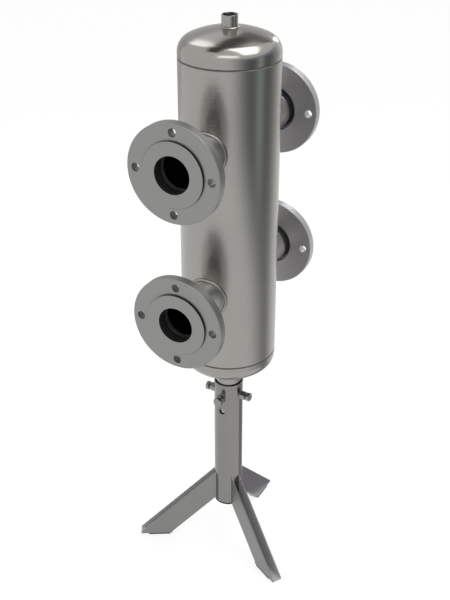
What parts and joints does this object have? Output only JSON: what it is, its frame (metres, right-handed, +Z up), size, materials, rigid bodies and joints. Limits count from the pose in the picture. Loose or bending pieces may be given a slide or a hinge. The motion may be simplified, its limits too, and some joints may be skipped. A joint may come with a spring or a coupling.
{
  "type": "hydraulic separator",
  "caption": "Upright stainless low-loss header with flanged ports on two sides, a vent socket on top and a height-adjustable tripod stand.",
  "frame": {"origin": "on the vessel's axis, on the floor under the stand", "axes": "+Z up along the vessel's axis; the ports lie along +X and -X, the near ones in the picture along -X; one leg of the stand points along +X"},
  "size_m": [0.422, 0.353, 1.173],
  "materials": {
    "vessel_steel": "satin",
    "flange_steel": "fine turned, matte",
    "weld_metal": "rippled",
    "stand_steel": "satin",
    "fastener_steel": "semi-gloss",
    "black_plastic": "matte",
    "black_rubber": "matte"
  },
  "bodies": {
    "stand": {"stand_tube": "stand_steel", "tube_plug": "black_plastic", "leg_1": "stand_steel", "foot_plate_1": "stand_steel", "foot_pad_1": "black_rubber", "leg_2": "stand_steel", "foot_plate_2": "stand_steel", "foot_pad_2": "black_rubber", "leg_3": "stand_steel", "foot_plate_3": "stand_steel", "foot_pad_3": "black_rubber", "clamp_nut_1": "fastener_steel", "clamp_screw_1": "fastener_steel", "clamp_nut_2": "fastener_steel", "clamp_screw_2": "fastener_steel", "clamp_nut_3": "fastener_steel", "clamp_screw_3": "fastener_steel", "clamp_nut_4": "fastener_steel", "clamp_screw_4": "fastener_steel"},
    "vessel": {"vessel_shell": "vessel_steel", "top_head": "vessel_steel", "bottom_head": "vessel_steel", "vent_socket": "vessel_steel", "vent_weld": "weld_metal", "spigot": "stand_steel", "spigot_weld": "weld_metal", "lower_front_pipe": "vessel_steel", "lower_front_weld": "weld_metal", "lower_front_lap_end": "flange_steel", "lower_front_butt_weld": "weld_metal", "lower_rear_pipe": "vessel_steel", "lower_rear_weld": "weld_metal", "lower_rear_lap_end": "flange_steel", "lower_rear_butt_weld": "weld_metal", "upper_front_pipe": "vessel_steel", "upper_front_weld": "weld_metal", "upper_front_lap_end": "flange_steel", "upper_front_butt_weld": "weld_metal", "upper_rear_pipe": "vessel_steel", "upper_rear_weld": "weld_metal", "upper_rear_lap_end": "flange_steel", "upper_rear_butt_weld": "weld_metal"},
    "lower_front_flange": {"lower_front_flange": "flange_steel"},
    "lower_rear_flange": {"lower_rear_flange": "flange_steel"},
    "upper_front_flange": {"upper_front_flange": "flange_steel"},
    "upper_rear_flange": {"upper_rear_flange": "flange_steel"}
  },
  "joints": [
    {"name": "height_slide", "type": "slide", "parent": "stand", "child": "vessel", "axis": [0, 0, 1], "range_m": [-0.025, 0.1]},
    {"name": "lower_front_swivel", "type": "hinge", "parent": "vessel", "child": "lower_front_flange", "pos_m": [-0.1977, 0, 0.649], "axis": [1, 0, 0], "continuous": true},
    {"name": "lower_rear_swivel", "type": "hinge", "parent": "vessel", "child": "lower_rear_flange", "pos_m": [0.1977, 0, 0.649], "axis": [1, 0, 0], "continuous": true},
    {"name": "upper_front_swivel", "type": "hinge", "parent": "vessel", "child": "upper_front_flange", "pos_m": [-0.1977, 0, 0.9445], "axis": [1, 0, 0], "continuous": true},
    {"name": "upper_rear_swivel", "type": "hinge", "parent": "vessel", "child": "upper_rear_flange", "pos_m": [0.1977, 0, 0.9445], "axis": [1, 0, 0], "continuous": true}
  ]
}
